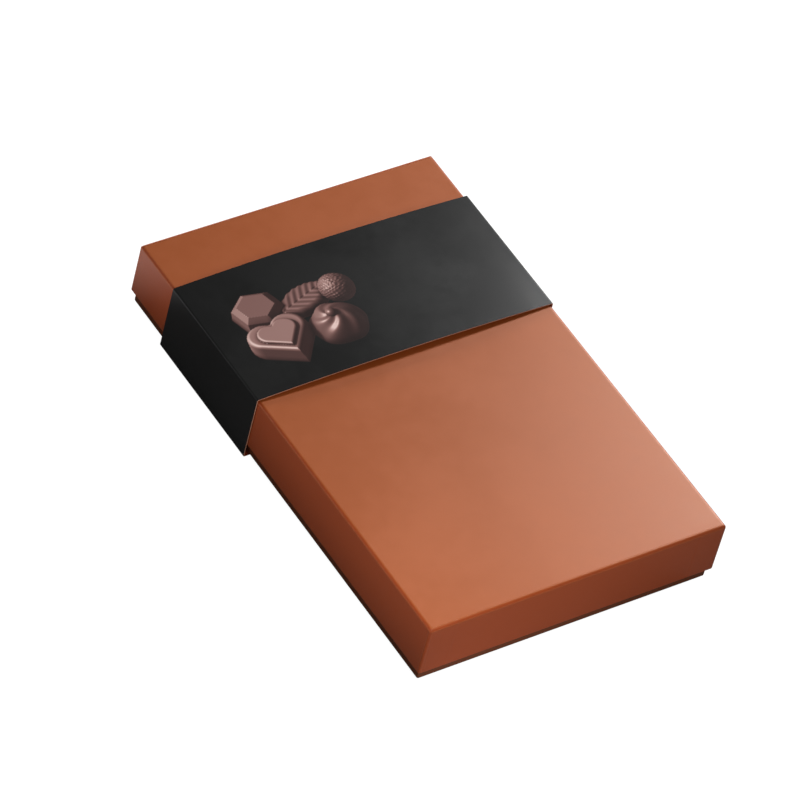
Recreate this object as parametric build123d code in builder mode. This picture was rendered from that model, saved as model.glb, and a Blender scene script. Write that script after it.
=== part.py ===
from build123d import *
import math
import os

os.makedirs("parts", exist_ok=True)

# A rigid two-piece chocolate box with a card sleeve. All sizes are in millimetres.
# X runs across the box, Y along it and Z up. The origin is under the middle of the box,
# on the surface that the sleeve lies on, and the sleeve sits near the +Y end.

# Closed box
box_width = 150.0
box_length = 235.0
lid_height = 27.0
base_reveal = 6.2  # dark base that shows below the lid
board = 1.1  # greyboard of both trays
wrap_paper = 0.15  # covering paper of both trays
lining = 0.15  # paper sheet inside each tray
lining_margin = 0.5
lid_fit = 0.3  # air between base and lid on each side
edge_radius = 1.3  # wrapped edge round the top of the lid and the foot of the base
corner_radius = 1.0  # wrapped upright corners
lid_turn_in = 16.0  # how far the covering paper reaches up inside the lid
base_turn_in = 25.0

# Card sleeve
card = 0.4
sleeve_width = 69.6
sleeve_end_distance = 28.4  # from the back end of the box to the sleeve's back edge
sleeve_side_gap = 0.3
sleeve_top_gap = 0.7
sleeve_crown = 2.0  # the loose top panel stands this much higher at mid span
crease_radius = 0.7
glue_flap = 15.0
seam_place = 20.0  # free edge of the under panel, measured from the middle
joggle = 2.0  # run in which the glued flap climbs over the under panel

# Dividers that make the cells
cell_columns = 4
cell_rows = 6
divider_card = 0.6
divider_end_gap = 0.3
divider_corner_cut = 3.0
slot_play = 0.3  # spare width and spare depth of each half-lap slot

# Fluted paper cups
flute_count = 14
cup_paper = 0.3
cup_height = 16.5
cup_gap = 0.25  # air between a cup's rim and the dividers
cup_taper = 2.4  # a cup's foot is this much smaller in radius than its rim
flute_depth_share = 0.06  # of the local radius

# Chocolates
praline_gap = 0.35  # air between a chocolate's foot and the cup
praline_height = 16.0
praline_foot = 2.5  # upright band at the foot of the domes
dome_rings = 3
praline_draft = 9.0  # degrees
button_radius = 3.4
button_height = 1.6
button_sides = 10
square_corner_cut = 3.0
rib_count = 3
rib_height = 1.2
rib_spacing = 5.0
heart_lobe_share = 0.54  # of the radius that fits the cup
heart_step = 2.5  # the raised heart stands this much higher
heart_crown_share = 0.72  # of the heart's size
heart_drop_share = 0.35  # of the lobe radius, which centres the heart in its cup
facet_pairs = 3  # pairs of flat sides
facet_shares = ((0, 1), (0.45, 0.94), (0.8, 0.7), (1, 0.42))  # of height and radius
bar_width = 14.0
bar_waves = 4
wave_depth = 2.4
lobe_count = 9
lobe_depth_share = 0.14  # of the local radius
cone_top_share = 0.72  # of the foot's radius
cap_height = 1.6

# Corrugated pad on top of the dividers
pad_paper = 0.3
pad_height = 4.2
pad_lid_gap = 1.2  # air between the pad and the lid's lining
pad_side_gap = 1.0
pad_wave_count = 18
pad_slope_share = 0.2  # of one wave, taken by each sloping flank

# Heights that follow from the stack of pieces
base_bottom = 2 * card
base_height = base_reveal + lid_height - wrap_paper - board - lining
lid_top = base_bottom + base_reveal + lid_height
cell_floor = base_bottom + wrap_paper + board + lining
divider_top = base_bottom + base_height - pad_lid_gap - pad_height
divider_height = divider_top - cell_floor

# Plan sizes that follow from the walls
wall = wrap_paper + board + wrap_paper
base_width = box_width - 2 * (wall + lid_fit)
base_length = box_length - 2 * (wall + lid_fit)
inside_width = base_width - 2 * wall
inside_length = base_length - 2 * wall
cell_pitch_x = inside_width / cell_columns
cell_pitch_y = inside_length / cell_rows
cup_rim_radius = (min(cell_pitch_x, cell_pitch_y) - divider_card) / 2 - cup_gap
cup_foot_radius = cup_rim_radius - cup_taper
praline_radius = (cup_foot_radius - cup_paper) * (1 - flute_depth_share) - praline_gap
praline_floor = cell_floor + cup_paper


def rounded_block(width, length, floor, depth, corner, edge):
    # A block that runs from the plane z = floor by depth, rounded round its floor and corners.
    with BuildPart() as block:
        with BuildSketch(Plane.XY.offset(floor)):
            RectangleRounded(width, length, corner)
        extrude(amount=depth)
        nearest = 0 if depth > 0 else -1
        fillet(block.faces().sort_by(Axis.Z)[nearest].edges(), edge)
    return block.part


def board_envelope(width, length, height, floor, opening):
    # The outside of the bare board tray, which is also the inside of its covering paper.
    return rounded_block(
        width - 2 * wrap_paper,
        length - 2 * wrap_paper,
        floor + opening * wrap_paper,
        opening * (height - 2 * wrap_paper),
        corner_radius - wrap_paper,
        edge_radius - wrap_paper,
    )


def board_tray(width, length, height, floor, opening):
    # Greyboard folded into a tray. opening is 1 for a tray open above and -1 for one open below.
    rim = floor + opening * (height - wrap_paper)
    hollow = (width - 2 * (wrap_paper + board), length - 2 * (wrap_paper + board))
    with BuildPart() as tray:
        add(board_envelope(width, length, height, floor, opening))
        with BuildSketch(Plane.XY.offset(rim)):
            Rectangle(*hollow)
        extrude(amount=-opening * (height - 2 * wrap_paper - board), mode=Mode.SUBTRACT)
    return tray.part


def wrap_tray(width, length, height, floor, opening, turn_in):
    # Covering paper: over the outside, round the rim and a little way down the inside.
    rim = floor + opening * height
    hollow = (width - 2 * (wrap_paper + board), length - 2 * (wrap_paper + board))
    mouth = (width - 2 * wall, length - 2 * wall)
    with BuildPart() as paper:
        add(rounded_block(width, length, floor, opening * height, corner_radius, edge_radius))
        add(board_envelope(width, length, height, floor, opening), mode=Mode.SUBTRACT)
        with BuildSketch(Plane.XY.offset(rim)):
            Rectangle(*hollow)
        extrude(amount=-opening * turn_in)
        with BuildSketch(Plane.XY.offset(rim)):
            Rectangle(*mouth)
        extrude(amount=-opening * turn_in, mode=Mode.SUBTRACT)
    return paper.part


def keep(part, name):
    part.label = name
    export_step(part, "parts/" + name + ".step")


# Base: the lower tray, its covering paper and the sheet that lines its floor
with BuildPart() as base_board:
    add(board_tray(base_width, base_length, base_height, base_bottom, 1))
keep(base_board.part, "base_board")

with BuildPart() as base_wrap:
    add(wrap_tray(base_width, base_length, base_height, base_bottom, 1, base_turn_in))
keep(base_wrap.part, "base_wrap")

with BuildPart() as base_liner:
    with BuildSketch(Plane.XY.offset(cell_floor - lining)):
        Rectangle(inside_width - 2 * lining_margin, inside_length - 2 * lining_margin)
    extrude(amount=lining)
keep(base_liner.part, "base_liner")

# Lid: the upper tray, which hides the base's walls and rests on its rim
with BuildPart() as lid_board:
    add(board_tray(box_width, box_length, lid_height, lid_top, -1))
keep(lid_board.part, "lid_board")

with BuildPart() as lid_wrap:
    add(wrap_tray(box_width, box_length, lid_height, lid_top, -1, lid_turn_in))
keep(lid_wrap.part, "lid_wrap")

with BuildPart() as lid_liner:
    with BuildSketch(Plane.XY.offset(lid_top - wrap_paper - board)):
        Rectangle(
            box_width - 2 * (wrap_paper + board + lining_margin),
            box_length - 2 * (wrap_paper + board + lining_margin),
        )
    extrude(amount=-lining)
keep(lid_liner.part, "lid_liner")

# Sleeve: one strip of card folded into a tube, glued along a flap under the box
sleeve_half = box_width / 2 + sleeve_side_gap + card
sleeve_shoulder = lid_top + sleeve_top_gap + card
sleeve_back = box_length / 2 - sleeve_end_distance

with BuildPart() as sleeve:
    with BuildSketch(Plane.XZ.offset(-sleeve_back)) as tube:
        with BuildLine():
            Polyline(
                (-sleeve_half, sleeve_shoulder),
                (-sleeve_half, 0),
                (sleeve_half, 0),
                (sleeve_half, sleeve_shoulder),
            )
            ThreePointArc(
                (sleeve_half, sleeve_shoulder),
                (0, sleeve_shoulder + sleeve_crown),
                (-sleeve_half, sleeve_shoulder),
            )
        make_face()
        fillet(tube.vertices(), crease_radius)
        offset(amount=-card, mode=Mode.SUBTRACT)
        # The flap lies on the under panel and steps down to it beyond the panel's free edge.
        with BuildLine():
            Polyline(
                (seam_place - glue_flap, card),
                (seam_place - glue_flap, 2 * card),
                (seam_place, 2 * card),
                (seam_place + joggle, card),
                close=True,
            )
        make_face()
        with BuildLine():
            Polyline((seam_place, 0), (seam_place, card), (seam_place + joggle, 0), close=True)
        make_face(mode=Mode.SUBTRACT)
    extrude(amount=sleeve_width)
keep(sleeve.part, "sleeve")


def divider_strip(plane, length, pitch, crossings, slot_side):
    # A card strip with half-lap slots. slot_side is 1 for slots cut from above, -1 from below.
    middle = cell_floor + divider_height / 2
    slot_depth = divider_height / 2 + slot_play / 2
    slot_middle = cell_floor + slot_depth / 2 if slot_side < 0 else divider_top - slot_depth / 2
    with BuildPart() as strip:
        with BuildSketch(plane) as outline:
            with Locations((0, middle)):
                Rectangle(length, divider_height)
            chamfer(outline.vertices().group_by(Axis.Z)[-1], divider_corner_cut)
            with Locations((0, slot_middle)):
                with GridLocations(pitch, 0, crossings, 1):
                    Rectangle(divider_card + slot_play, slot_depth, mode=Mode.SUBTRACT)
        extrude(amount=divider_card / 2, both=True)
    return strip.part


# Dividers: long strips slotted from above, cross strips slotted from below
for index in range(1, cell_columns):
    place = -inside_width / 2 + index * cell_pitch_x
    with BuildPart() as long_divider:
        add(
            divider_strip(
                Plane.YZ.offset(place),
                inside_length - 2 * divider_end_gap,
                cell_pitch_y,
                cell_rows - 1,
                1,
            )
        )
    keep(long_divider.part, f"long_divider_{index}")

for index in range(1, cell_rows):
    place = -inside_length / 2 + index * cell_pitch_y
    with BuildPart() as cross_divider:
        add(
            divider_strip(
                Plane.XZ.offset(-place),
                inside_width - 2 * divider_end_gap,
                cell_pitch_x,
                cell_columns - 1,
                -1,
            )
        )
    keep(cross_divider.part, f"cross_divider_{index}")


def lobed_points(radius, lobes, depth_share):
    # A closed zigzag round a circle, at full radius on each lobe and inside it between lobes.
    points = []
    for step in range(2 * lobes):
        reach = radius if step % 2 == 0 else radius * (1 - depth_share)
        angle = math.pi * step / lobes
        points.append((reach * math.cos(angle), reach * math.sin(angle)))
    return points


def flat_sided_stage(foot, rim, floor, height):
    # A solid between two outlines of as many points, with one flat side under each of their edges.
    lower = [(x, y, floor) for x, y in foot]
    upper = [(x, y, floor + height) for x, y in rim]
    sides = [
        Face(Wire.make_polygon([lower[i - 1], lower[i], upper[i], upper[i - 1]]))
        for i in range(len(lower))
    ]
    ends = [Face(Wire.make_polygon(lower)), Face(Wire.make_polygon(upper))]
    return Solid(Shell(sides + ends))


# Cup: fluted paper, pleated from the foot to the rim, one paper thick
cup_outside = flat_sided_stage(
    lobed_points(cup_foot_radius, flute_count, flute_depth_share),
    lobed_points(cup_rim_radius, flute_count, flute_depth_share),
    cell_floor,
    cup_height,
)
cup_inside = flat_sided_stage(
    lobed_points(cup_foot_radius - cup_paper, flute_count, flute_depth_share),
    lobed_points(cup_rim_radius - cup_paper, flute_count, flute_depth_share),
    cell_floor + cup_paper,
    cup_height - cup_paper,
)
with BuildPart() as cup:
    add(cup_outside)
    add(cup_inside, mode=Mode.SUBTRACT)

cells = [
    (
        (column + 1 / 2) * cell_pitch_x - inside_width / 2,
        (row + 1 / 2) * cell_pitch_y - inside_length / 2,
    )
    for column in range(cell_columns)
    for row in range(cell_rows)
]
for index, cell in enumerate(cells, start=1):
    with BuildPart() as placed_cup:
        with Locations(cell):
            add(cup.part)
    keep(placed_cup.part, f"cup_{index}")

# Six kinds of moulded chocolate, each drawn once over the origin
praline_top = praline_floor + praline_height
foot_plane = Plane.XY.offset(praline_floor)

# Round dome in stepped rings, with an upright foot and a button on its crown
with BuildPart() as dome:
    dome_rise = praline_height - button_height - praline_foot
    shoulder = praline_floor + praline_foot
    rings = [math.pi / 2 * ring / dome_rings for ring in range(dome_rings + 1)]
    with BuildSketch(Plane.XZ):
        Polygon(
            (0, praline_floor),
            (praline_radius, praline_floor),
            *((praline_radius * math.cos(turn), shoulder + dome_rise * math.sin(turn)) for turn in rings),
            align=None,
        )
    revolve(axis=Axis.Z)
    with BuildSketch(Plane.XY.offset(shoulder)):
        RegularPolygon(button_radius, button_sides)
    extrude(amount=praline_height - praline_foot)

# Square with drafted sides, cut corners and ribs across its top
square_side = praline_radius * math.sqrt(2) + square_corner_cut * (math.sqrt(2) - 1)
with BuildPart() as ribbed_square:
    with BuildSketch(foot_plane) as square:
        Rectangle(square_side, square_side)
        chamfer(square.vertices(), square_corner_cut)
    extrude(amount=praline_height - rib_height, taper=praline_draft)
    top_side = square_side - 2 * praline_height * math.tan(math.radians(praline_draft))
    with BuildSketch(Plane.XZ):
        with Locations((0, praline_top - rib_height)):
            with GridLocations(rib_spacing, 0, rib_count, 1):
                Polygon((-rib_height, 0), (rib_height, 0), (0, rib_height), align=None)
    extrude(amount=top_side / 2 - square_corner_cut, both=True)

# Heart with a smaller raised heart on top
with BuildPart() as heart:
    heart_lobe_radius = praline_radius * heart_lobe_share
    heart_drop = heart_lobe_radius * heart_drop_share
    for level, size, rise in (
        (0, heart_lobe_radius, praline_height - heart_step),
        (0, heart_lobe_radius * heart_crown_share, praline_height),
    ):
        with BuildSketch(Plane.XY.offset(praline_floor + level)):
            with Locations((0, -heart_drop)):
                Rectangle(2 * size, 2 * size, rotation=45)
            with Locations(
                (size / math.sqrt(2), size / math.sqrt(2) - heart_drop),
                (-size / math.sqrt(2), size / math.sqrt(2) - heart_drop),
            ):
                Circle(size)
        extrude(amount=rise)

# Six-sided, with steep facets below and flatter ones above
with BuildPart() as faceted:
    for (low_share, low_reach_share), (high_share, high_reach_share) in zip(
        facet_shares, facet_shares[1:]
    ):
        add(
            flat_sided_stage(
                lobed_points(praline_radius * low_reach_share, facet_pairs, 0),
                lobed_points(praline_radius * high_reach_share, facet_pairs, 0),
                praline_floor + praline_height * low_share,
                praline_height * (high_share - low_share),
            )
        )

# Bar with a wavy top
with BuildPart() as wavy_bar:
    bar_length = 2 * math.sqrt(praline_radius**2 - (bar_width / 2) ** 2)
    wave = bar_length / bar_waves
    crest = [
        (step * wave / 2 - bar_length / 2, praline_top if step % 2 else praline_top - wave_depth)
        for step in range(2 * bar_waves + 1)
    ]
    with BuildSketch(Plane.XZ):
        Polygon(
            (-bar_length / 2, praline_floor),
            (bar_length / 2, praline_floor),
            *reversed(crest),
            align=None,
        )
    extrude(amount=bar_width / 2, both=True)

# Fluted cone with a low round cap
with BuildPart() as fluted_cone:
    cone_top_radius = praline_radius * cone_top_share
    add(
        flat_sided_stage(
            lobed_points(praline_radius, lobe_count, lobe_depth_share),
            lobed_points(cone_top_radius, lobe_count, lobe_depth_share),
            praline_floor,
            praline_height - cap_height,
        )
    )
    with BuildSketch(Plane.XY.offset(praline_top - cap_height)):
        RegularPolygon(cone_top_radius * (1 - lobe_depth_share) - cap_height / 2, 2 * lobe_count)
    extrude(amount=cap_height)

praline_kinds = {
    "dome_pralines": dome,
    "ribbed_square_pralines": ribbed_square,
    "heart_pralines": heart,
    "faceted_pralines": faceted,
    "wavy_bar_pralines": wavy_bar,
    "fluted_cone_pralines": fluted_cone,
}
for kind, (name, form) in enumerate(praline_kinds.items()):
    chosen = [
        cell
        for index, cell in enumerate(cells)
        if (index // cell_rows * 2 + index % cell_rows) % len(praline_kinds) == kind
    ]
    with BuildPart() as pralines:
        with Locations(*chosen):
            add(form.part)
    keep(pralines.part, name)

# Pad: corrugated paper glued to a flat sheet, lying on the dividers with its waves down
with BuildPart() as pad:
    pad_length = inside_length - 2 * pad_side_gap
    pad_wave = pad_length / pad_wave_count
    flank = pad_wave * pad_slope_share
    flat = pad_wave / 2 - flank
    wave_top = divider_top + pad_height - pad_paper
    under = []
    for index in range(pad_wave_count):
        start = index * pad_wave - pad_length / 2
        under += [
            (start, divider_top),
            (start + flat, divider_top),
            (start + flat + flank, wave_top - pad_paper),
            (start + 2 * flat + flank, wave_top - pad_paper),
        ]
    under.append((pad_length / 2, divider_top))
    over = [(place, level + pad_paper) for place, level in reversed(under)]
    with BuildSketch(Plane.YZ):
        Polygon(*under, *over, align=None)
        with Locations((0, wave_top + pad_paper / 2)):
            Rectangle(pad_length, pad_paper)
    extrude(amount=inside_width / 2 - pad_side_gap, both=True)
keep(pad.part, "candy_pad")
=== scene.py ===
import math
import bpy
import numpy as np
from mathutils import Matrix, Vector


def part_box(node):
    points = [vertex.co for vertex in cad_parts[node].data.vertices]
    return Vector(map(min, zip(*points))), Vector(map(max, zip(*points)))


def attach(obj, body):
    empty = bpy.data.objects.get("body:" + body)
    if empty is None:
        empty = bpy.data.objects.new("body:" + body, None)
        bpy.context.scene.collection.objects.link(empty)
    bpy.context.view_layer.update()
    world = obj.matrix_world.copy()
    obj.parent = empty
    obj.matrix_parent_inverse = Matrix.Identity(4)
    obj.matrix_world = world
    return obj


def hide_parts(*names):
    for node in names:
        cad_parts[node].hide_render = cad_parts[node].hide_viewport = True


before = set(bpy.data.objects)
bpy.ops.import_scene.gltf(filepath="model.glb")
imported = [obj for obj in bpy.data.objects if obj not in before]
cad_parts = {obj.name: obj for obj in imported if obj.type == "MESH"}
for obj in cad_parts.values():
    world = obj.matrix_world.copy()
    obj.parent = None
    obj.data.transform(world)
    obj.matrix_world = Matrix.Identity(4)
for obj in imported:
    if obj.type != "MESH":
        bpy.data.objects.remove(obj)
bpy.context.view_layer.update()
mm = 0.001
print("stage: frame loaded")


def addNode(tree, kind, feeds=None, **settings):
    made = tree.nodes.new(kind)
    for name, value in settings.items():
        setattr(made, name, value)
    for socket, value in (feeds or {}).items():
        if isinstance(value, bpy.types.NodeSocket):
            tree.links.new(value, made.inputs[socket])
        else:
            made.inputs[socket].default_value = value
    return made


def calc(tree, operation, *values):
    return addNode(tree, "ShaderNodeMath", dict(enumerate(values)), operation=operation).outputs[0]


def times(tree, first, second):
    return calc(tree, "MULTIPLY", first, second)


def vectorCalc(tree, operation, *values):
    feeds = dict(enumerate(values))
    return addNode(tree, "ShaderNodeVectorMath", feeds, operation=operation).outputs[0]


def ramp(tree, value, low, high, start=0.0, end=1.0):
    feeds = {"Value": value, "From Min": low, "From Max": high, "To Min": start, "To Max": end}
    made = addNode(tree, "ShaderNodeMapRange", feeds, interpolation_type="SMOOTHSTEP")
    return made.outputs["Result"]


def opaque(colour):
    return (*colour, 1.0) if isinstance(colour, tuple) else colour


def mixColour(tree, share, first, second):
    feeds = {0: share, 6: opaque(first), 7: opaque(second)}
    return addNode(tree, "ShaderNodeMix", feeds, data_type="RGBA").outputs[2]


def noise(tree, vector, scale, detail=3.0, roughness=0.55, distortion=0.0):
    feeds = dict(
        Vector=vector, Scale=scale, Detail=detail, Roughness=roughness, Distortion=distortion
    )
    return addNode(tree, "ShaderNodeTexNoise", feeds).outputs["Fac"]


def stretched(tree, vector, turn, sizes):
    # The vector turned about z, then scaled along each axis.
    scale = addNode(tree, "ShaderNodeCombineXYZ", dict(enumerate(sizes))).outputs[0]
    feeds = {"Vector": vector, "Rotation": (0.0, 0.0, turn), "Scale": scale}
    return addNode(tree, "ShaderNodeMapping", feeds).outputs[0]


def separate(tree, vector):
    return addNode(tree, "ShaderNodeSeparateXYZ", {0: vector}).outputs


def shadeGroup(name, inputs, outputs):
    tree = bpy.data.node_groups.new(name, "ShaderNodeTree")
    for label, value in inputs.items():
        kind = "NodeSocketVector" if isinstance(value, tuple) else "NodeSocketFloat"
        socket = tree.interface.new_socket(name=label, in_out="INPUT", socket_type=kind)
        socket.default_value = value
    for label in outputs:
        tree.interface.new_socket(name=label, in_out="OUTPUT", socket_type="NodeSocketFloat")
    return tree, tree.nodes.new("NodeGroupInput").outputs, tree.nodes.new("NodeGroupOutput").inputs


def useGroup(tree, group, **values):
    # Spaces in a socket's name are left out of the keyword.
    made = addNode(tree, "ShaderNodeGroup", node_tree=group)
    for socket in made.inputs:
        value = values.get(socket.name.replace(" ", ""))
        if isinstance(value, bpy.types.NodeSocket):
            tree.links.new(value, socket)
        elif value is not None:
            socket.default_value = value
    return made.outputs


def newMaterial(name, **settings):
    material = bpy.data.materials.new(name)
    material.use_nodes = True
    tree = material.node_tree
    shader = tree.nodes["Principled BSDF"]
    for label, value in settings.items():
        shader.inputs[label.replace("_", " ")].default_value = value
    place = tree.nodes.new("ShaderNodeTexCoord").outputs["Object"]
    return material, tree, shader, place


def feed(tree, shader, label, value):
    tree.links.new(value, shader.inputs[label])


def bumpFrom(tree, shader, height):
    # The height is in millimetres.
    made = addNode(tree, "ShaderNodeBump", {"Height": height, "Distance": mm, "Strength": 1.0})
    tree.links.new(made.outputs["Normal"], shader.inputs["Normal"])


def grey(value):
    return (value, value, value, 1.0)


def putInScene(name, data):
    made = bpy.data.objects.new(name, data)
    bpy.context.scene.collection.objects.link(made)
    return made


effectLook = dict(
    fibreTurns=(0.35, 1.75), fibreBand=(0.35, 0.8), cloudShare=0.16, cloudBand=(0.25, 0.75),
    fineTimes=9.0, mottleBand=(0.3, 0.7),
    rubScale=260.0, rubBand=(0.3, 0.75, 0.35, 1.6), patchScale=45.0, patchBand=(0.35, 0.62),
    scuffTurns=(0.5, 2.1), scuffStretch=14.0, scuffWidth=0.012, scuffBand=(0.52, 0.7),
)


def buildFibre(look):
    # Fine paper fibres in two crossing directions, and the cloudy tone of the sheet.
    inputs = {"Vector": (0.0, 0.0, 0.0), "Scale": 900.0, "Stretch": 7.0}
    tree, take, give = shadeGroup("paperFibre", inputs, ("Height", "Tone"))
    sizes = (take["Scale"], times(tree, take["Scale"], take["Stretch"]), take["Scale"])
    fields = [
        noise(tree, stretched(tree, take["Vector"], turn, sizes), 1.0, 4.0, 0.65, 0.8)
        for turn in look["fibreTurns"]
    ]
    tree.links.new(ramp(tree, calc(tree, "MAXIMUM", *fields), *look["fibreBand"]), give["Height"])
    cloud = noise(tree, take["Vector"], times(tree, take["Scale"], look["cloudShare"]), 5.0, 0.7)
    tree.links.new(ramp(tree, cloud, *look["cloudBand"]), give["Tone"])
    return tree


def buildMottle(look):
    # Slow drifts of tone over the whole piece with a little finer cloud in them.
    inputs = {"Vector": (0.0, 0.0, 0.0), "Scale": 22.0, "Fine Share": 0.3}
    tree, take, give = shadeGroup("mottle", inputs, ("Tone",))
    slow = noise(tree, take["Vector"], take["Scale"], 2.0, 0.5, 0.4)
    fine = noise(tree, take["Vector"], times(tree, take["Scale"], look["fineTimes"]), 4.0, 0.6)
    slowPart = times(tree, slow, calc(tree, "SUBTRACT", 1.0, take["Fine Share"]))
    finePart = times(tree, fine, take["Fine Share"])
    both = calc(tree, "ADD", slowPart, finePart)
    tree.links.new(ramp(tree, both, *look["mottleBand"]), give["Tone"])
    return tree


def buildEdgeWear(look):
    # A broken mask along the edges of the box from Low to High, and how far in each point lies.
    inputs = {"Vector": (0.0, 0.0, 0.0), "Low": (0.0, 0.0, 0.0), "High": (1.0, 1.0, 1.0)}
    inputs.update({"Width": 0.001, "Breakup": 0.5})
    tree, take, give = shadeGroup("edgeWear", inputs, ("Mask", "Inset"))
    below = vectorCalc(tree, "SUBTRACT", take["Vector"], take["Low"])
    above = vectorCalc(tree, "SUBTRACT", take["High"], take["Vector"])
    x, y, z = separate(tree, vectorCalc(tree, "MINIMUM", below, above))
    lesser = calc(tree, "MINIMUM", x, y)
    greater = calc(tree, "MAXIMUM", x, y)
    inset = calc(tree, "MAXIMUM", lesser, calc(tree, "MINIMUM", greater, z))
    rough = noise(tree, take["Vector"], look["rubScale"], 5.0, 0.7)
    reach = times(tree, take["Width"], ramp(tree, rough, *look["rubBand"]))
    rub = calc(tree, "SUBTRACT", 1.0, calc(tree, "DIVIDE", inset, reach))
    whole = calc(tree, "MAXIMUM", rub, 0.0)
    patch = ramp(tree, noise(tree, take["Vector"], look["patchScale"], 3.0), *look["patchBand"])
    unbroken = calc(tree, "SUBTRACT", 1.0, times(tree, take["Breakup"], patch))
    tree.links.new(times(tree, whole, unbroken), give["Mask"])
    tree.links.new(inset, give["Inset"])
    return tree


def buildScuffs(look):
    # Sparse hairline rubs in a satin surface.
    tree, take, give = shadeGroup("scuffs", {"Vector": (0.0, 0.0, 0.0), "Scale": 30.0}, ("Mask",))
    masks = []
    for turn in look["scuffTurns"]:
        along = stretched(tree, take["Vector"], turn, (1.0, look["scuffStretch"], 1.0))
        field = noise(tree, along, take["Scale"], 3.0, 0.5, 0.6)
        off = calc(tree, "ABSOLUTE", calc(tree, "SUBTRACT", field, 0.5))
        masks.append(ramp(tree, off, 0.0, look["scuffWidth"], 1.0, 0.0))
    lines = calc(tree, "MAXIMUM", *masks)
    places = ramp(tree, noise(tree, take["Vector"], take["Scale"], 2.0), *look["scuffBand"])
    tree.links.new(times(tree, lines, places), give["Mask"])
    return tree


fibreGroup = buildFibre(effectLook)
mottleGroup = buildMottle(effectLook)
edgeGroup = buildEdgeWear(effectLook)
scuffGroup = buildScuffs(effectLook)
print("stage: shared effects built")


def fibreAndTone(tree, place, look, stretch, fineShare):
    fibre = useGroup(tree, fibreGroup, Vector=place, Scale=look["fibreScale"], Stretch=stretch)
    tone = useGroup(tree, mottleGroup, Vector=place, Scale=look["mottleScale"], FineShare=fineShare)
    return fibre, tone["Tone"]


def rubbedEdges(tree, place, nodeName, look, breakup):
    low, high = (tuple(corner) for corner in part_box(nodeName))
    width = look["wearWidth"] * mm
    return useGroup(tree, edgeGroup, Vector=place, Low=low, High=high, Width=width, Breakup=breakup)


def around(tree, value, middle, spread):
    return ramp(tree, value, 0.0, 1.0, middle - spread, middle + spread)


# The laps on the end walls, in millimetres from the box's faces: where they show, where the sheet
# is cut, and where the tab under it ends. bend is how far from an edge the painted sheen turns.
lapLook = dict(onEnd=(1.6, 1.3), cut=(1.75, 1.65), tab=(14.5, 13.0), tabShare=0.5, bend=(1.15, 0.6))


def coveringPaper(name, look, nodeName):
    # Paper glued over board: fibres, slow mottle, a painted sheen, rubbed edges and the laps at the
    # box corners.
    material, tree, shader, place = newMaterial(
        name, Metallic=look["metallic"], Specular_IOR_Level=look["specular"],
        Specular_Tint=look["sheen"],
    )
    fibre, tone = fibreAndTone(tree, place, look, stretch=6.0, fineShare=0.35)
    rubbed = rubbedEdges(tree, place, nodeName, look, breakup=0.7)
    worn = rubbed["Mask"]
    colour = mixColour(tree, tone, look["deep"], look["light"])
    colour = mixColour(tree, times(tree, fibre["Tone"], look["cloud"]), colour, look["light"])
    # Painted sheen: the colour turns redder where the paper is seen at a slant and round its edges.
    facing = addNode(tree, "ShaderNodeLayerWeight", {"Blend": 0.5}).outputs["Facing"]
    bend = ramp(tree, rubbed["Inset"], *(inset * mm for inset in lapLook["bend"]))
    paintedSheenShare = calc(tree, "MAXIMUM", ramp(tree, facing, *look["turning"]), bend)
    colour = mixColour(tree, times(tree, paintedSheenShare, look["blush"]), colour, look["aslant"])
    colour = mixColour(tree, times(tree, worn, look["wear"]), colour, look["worn"])
    feed(tree, shader, "Base Color", colour)
    satin = around(tree, tone, look["roughness"], look["spread"])
    satin = calc(tree, "ADD", satin, times(tree, worn, look["wornRoughness"]))
    feed(tree, shader, "Roughness", satin)
    # On the two end walls the sheet stops just short of the corner, over the tab of the long side.
    x, y, z = separate(tree, place)
    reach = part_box(nodeName)[1]

    def fromFace(value, axis, label, start=0.0, end=1.0):
        spans = (reach[axis] - inset * mm for inset in lapLook[label])
        return ramp(tree, value, *spans, start, end)

    onEnd = fromFace(calc(tree, "ABSOLUTE", y), 1, "onEnd")
    across = calc(tree, "ABSOLUTE", x)
    cut = fromFace(across, 0, "cut", look["lap"], 0.0)
    tab = fromFace(across, 0, "tab", 0.0, look["lap"] * lapLook["tabShare"])
    lap = times(tree, calc(tree, "ADD", cut, tab), onEnd)
    grain = times(tree, fibre["Height"], look["grain"])
    bumpFrom(tree, shader, calc(tree, "ADD", lap, grain))
    return material


# The facing band here, with each look's redder colour and its strength, sets the painted sheen.
coverLook = dict(turning=(0.30, 0.56), wornRoughness=0.12, spread=0.03, lap=0.10)
copperLook = dict(
    coverLook, deep=(0.352, 0.079, 0.0155), light=(0.384, 0.087, 0.0175),
    worn=(0.25, 0.042, 0.011), aslant=(0.366, 0.056, 0.0095), blush=0.9,
    sheen=(1.0, 0.92, 0.80, 1.0), metallic=0.06, specular=0.42, roughness=0.39,
    fibreScale=1100.0, mottleScale=16.0, cloud=0.25, wearWidth=0.9, wear=0.6, grain=0.004,
)
blackPaperLook = dict(
    coverLook, deep=(0.150, 0.045, 0.019), light=(0.190, 0.057, 0.024),
    worn=(0.20, 0.066, 0.032), aslant=(0.165, 0.050, 0.021), blush=0.5,
    sheen=(1.0, 1.0, 1.0, 1.0), metallic=0.0, specular=0.08, roughness=0.50,
    fibreScale=900.0, mottleScale=30.0, cloud=0.4, wearWidth=0.5, wear=0.3, grain=0.012,
)
copperPaper = coveringPaper("copperPaper", copperLook, "lid_wrap")
blackPaper = coveringPaper("blackPaper", blackPaperLook, "base_wrap")

cardLook = dict(
    black=(0.0052, 0.0052, 0.0051), greyer=(0.0072, 0.0072, 0.0070),
    worn=(0.06, 0.055, 0.05), wearWidth=0.6, wear=0.10, specular=0.29, roughness=0.30,
    spread=0.02, fibreScale=700.0, mottleScale=24.0, scuffScale=26.0, rubbed=0.03, grain=0.002,
)


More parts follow.
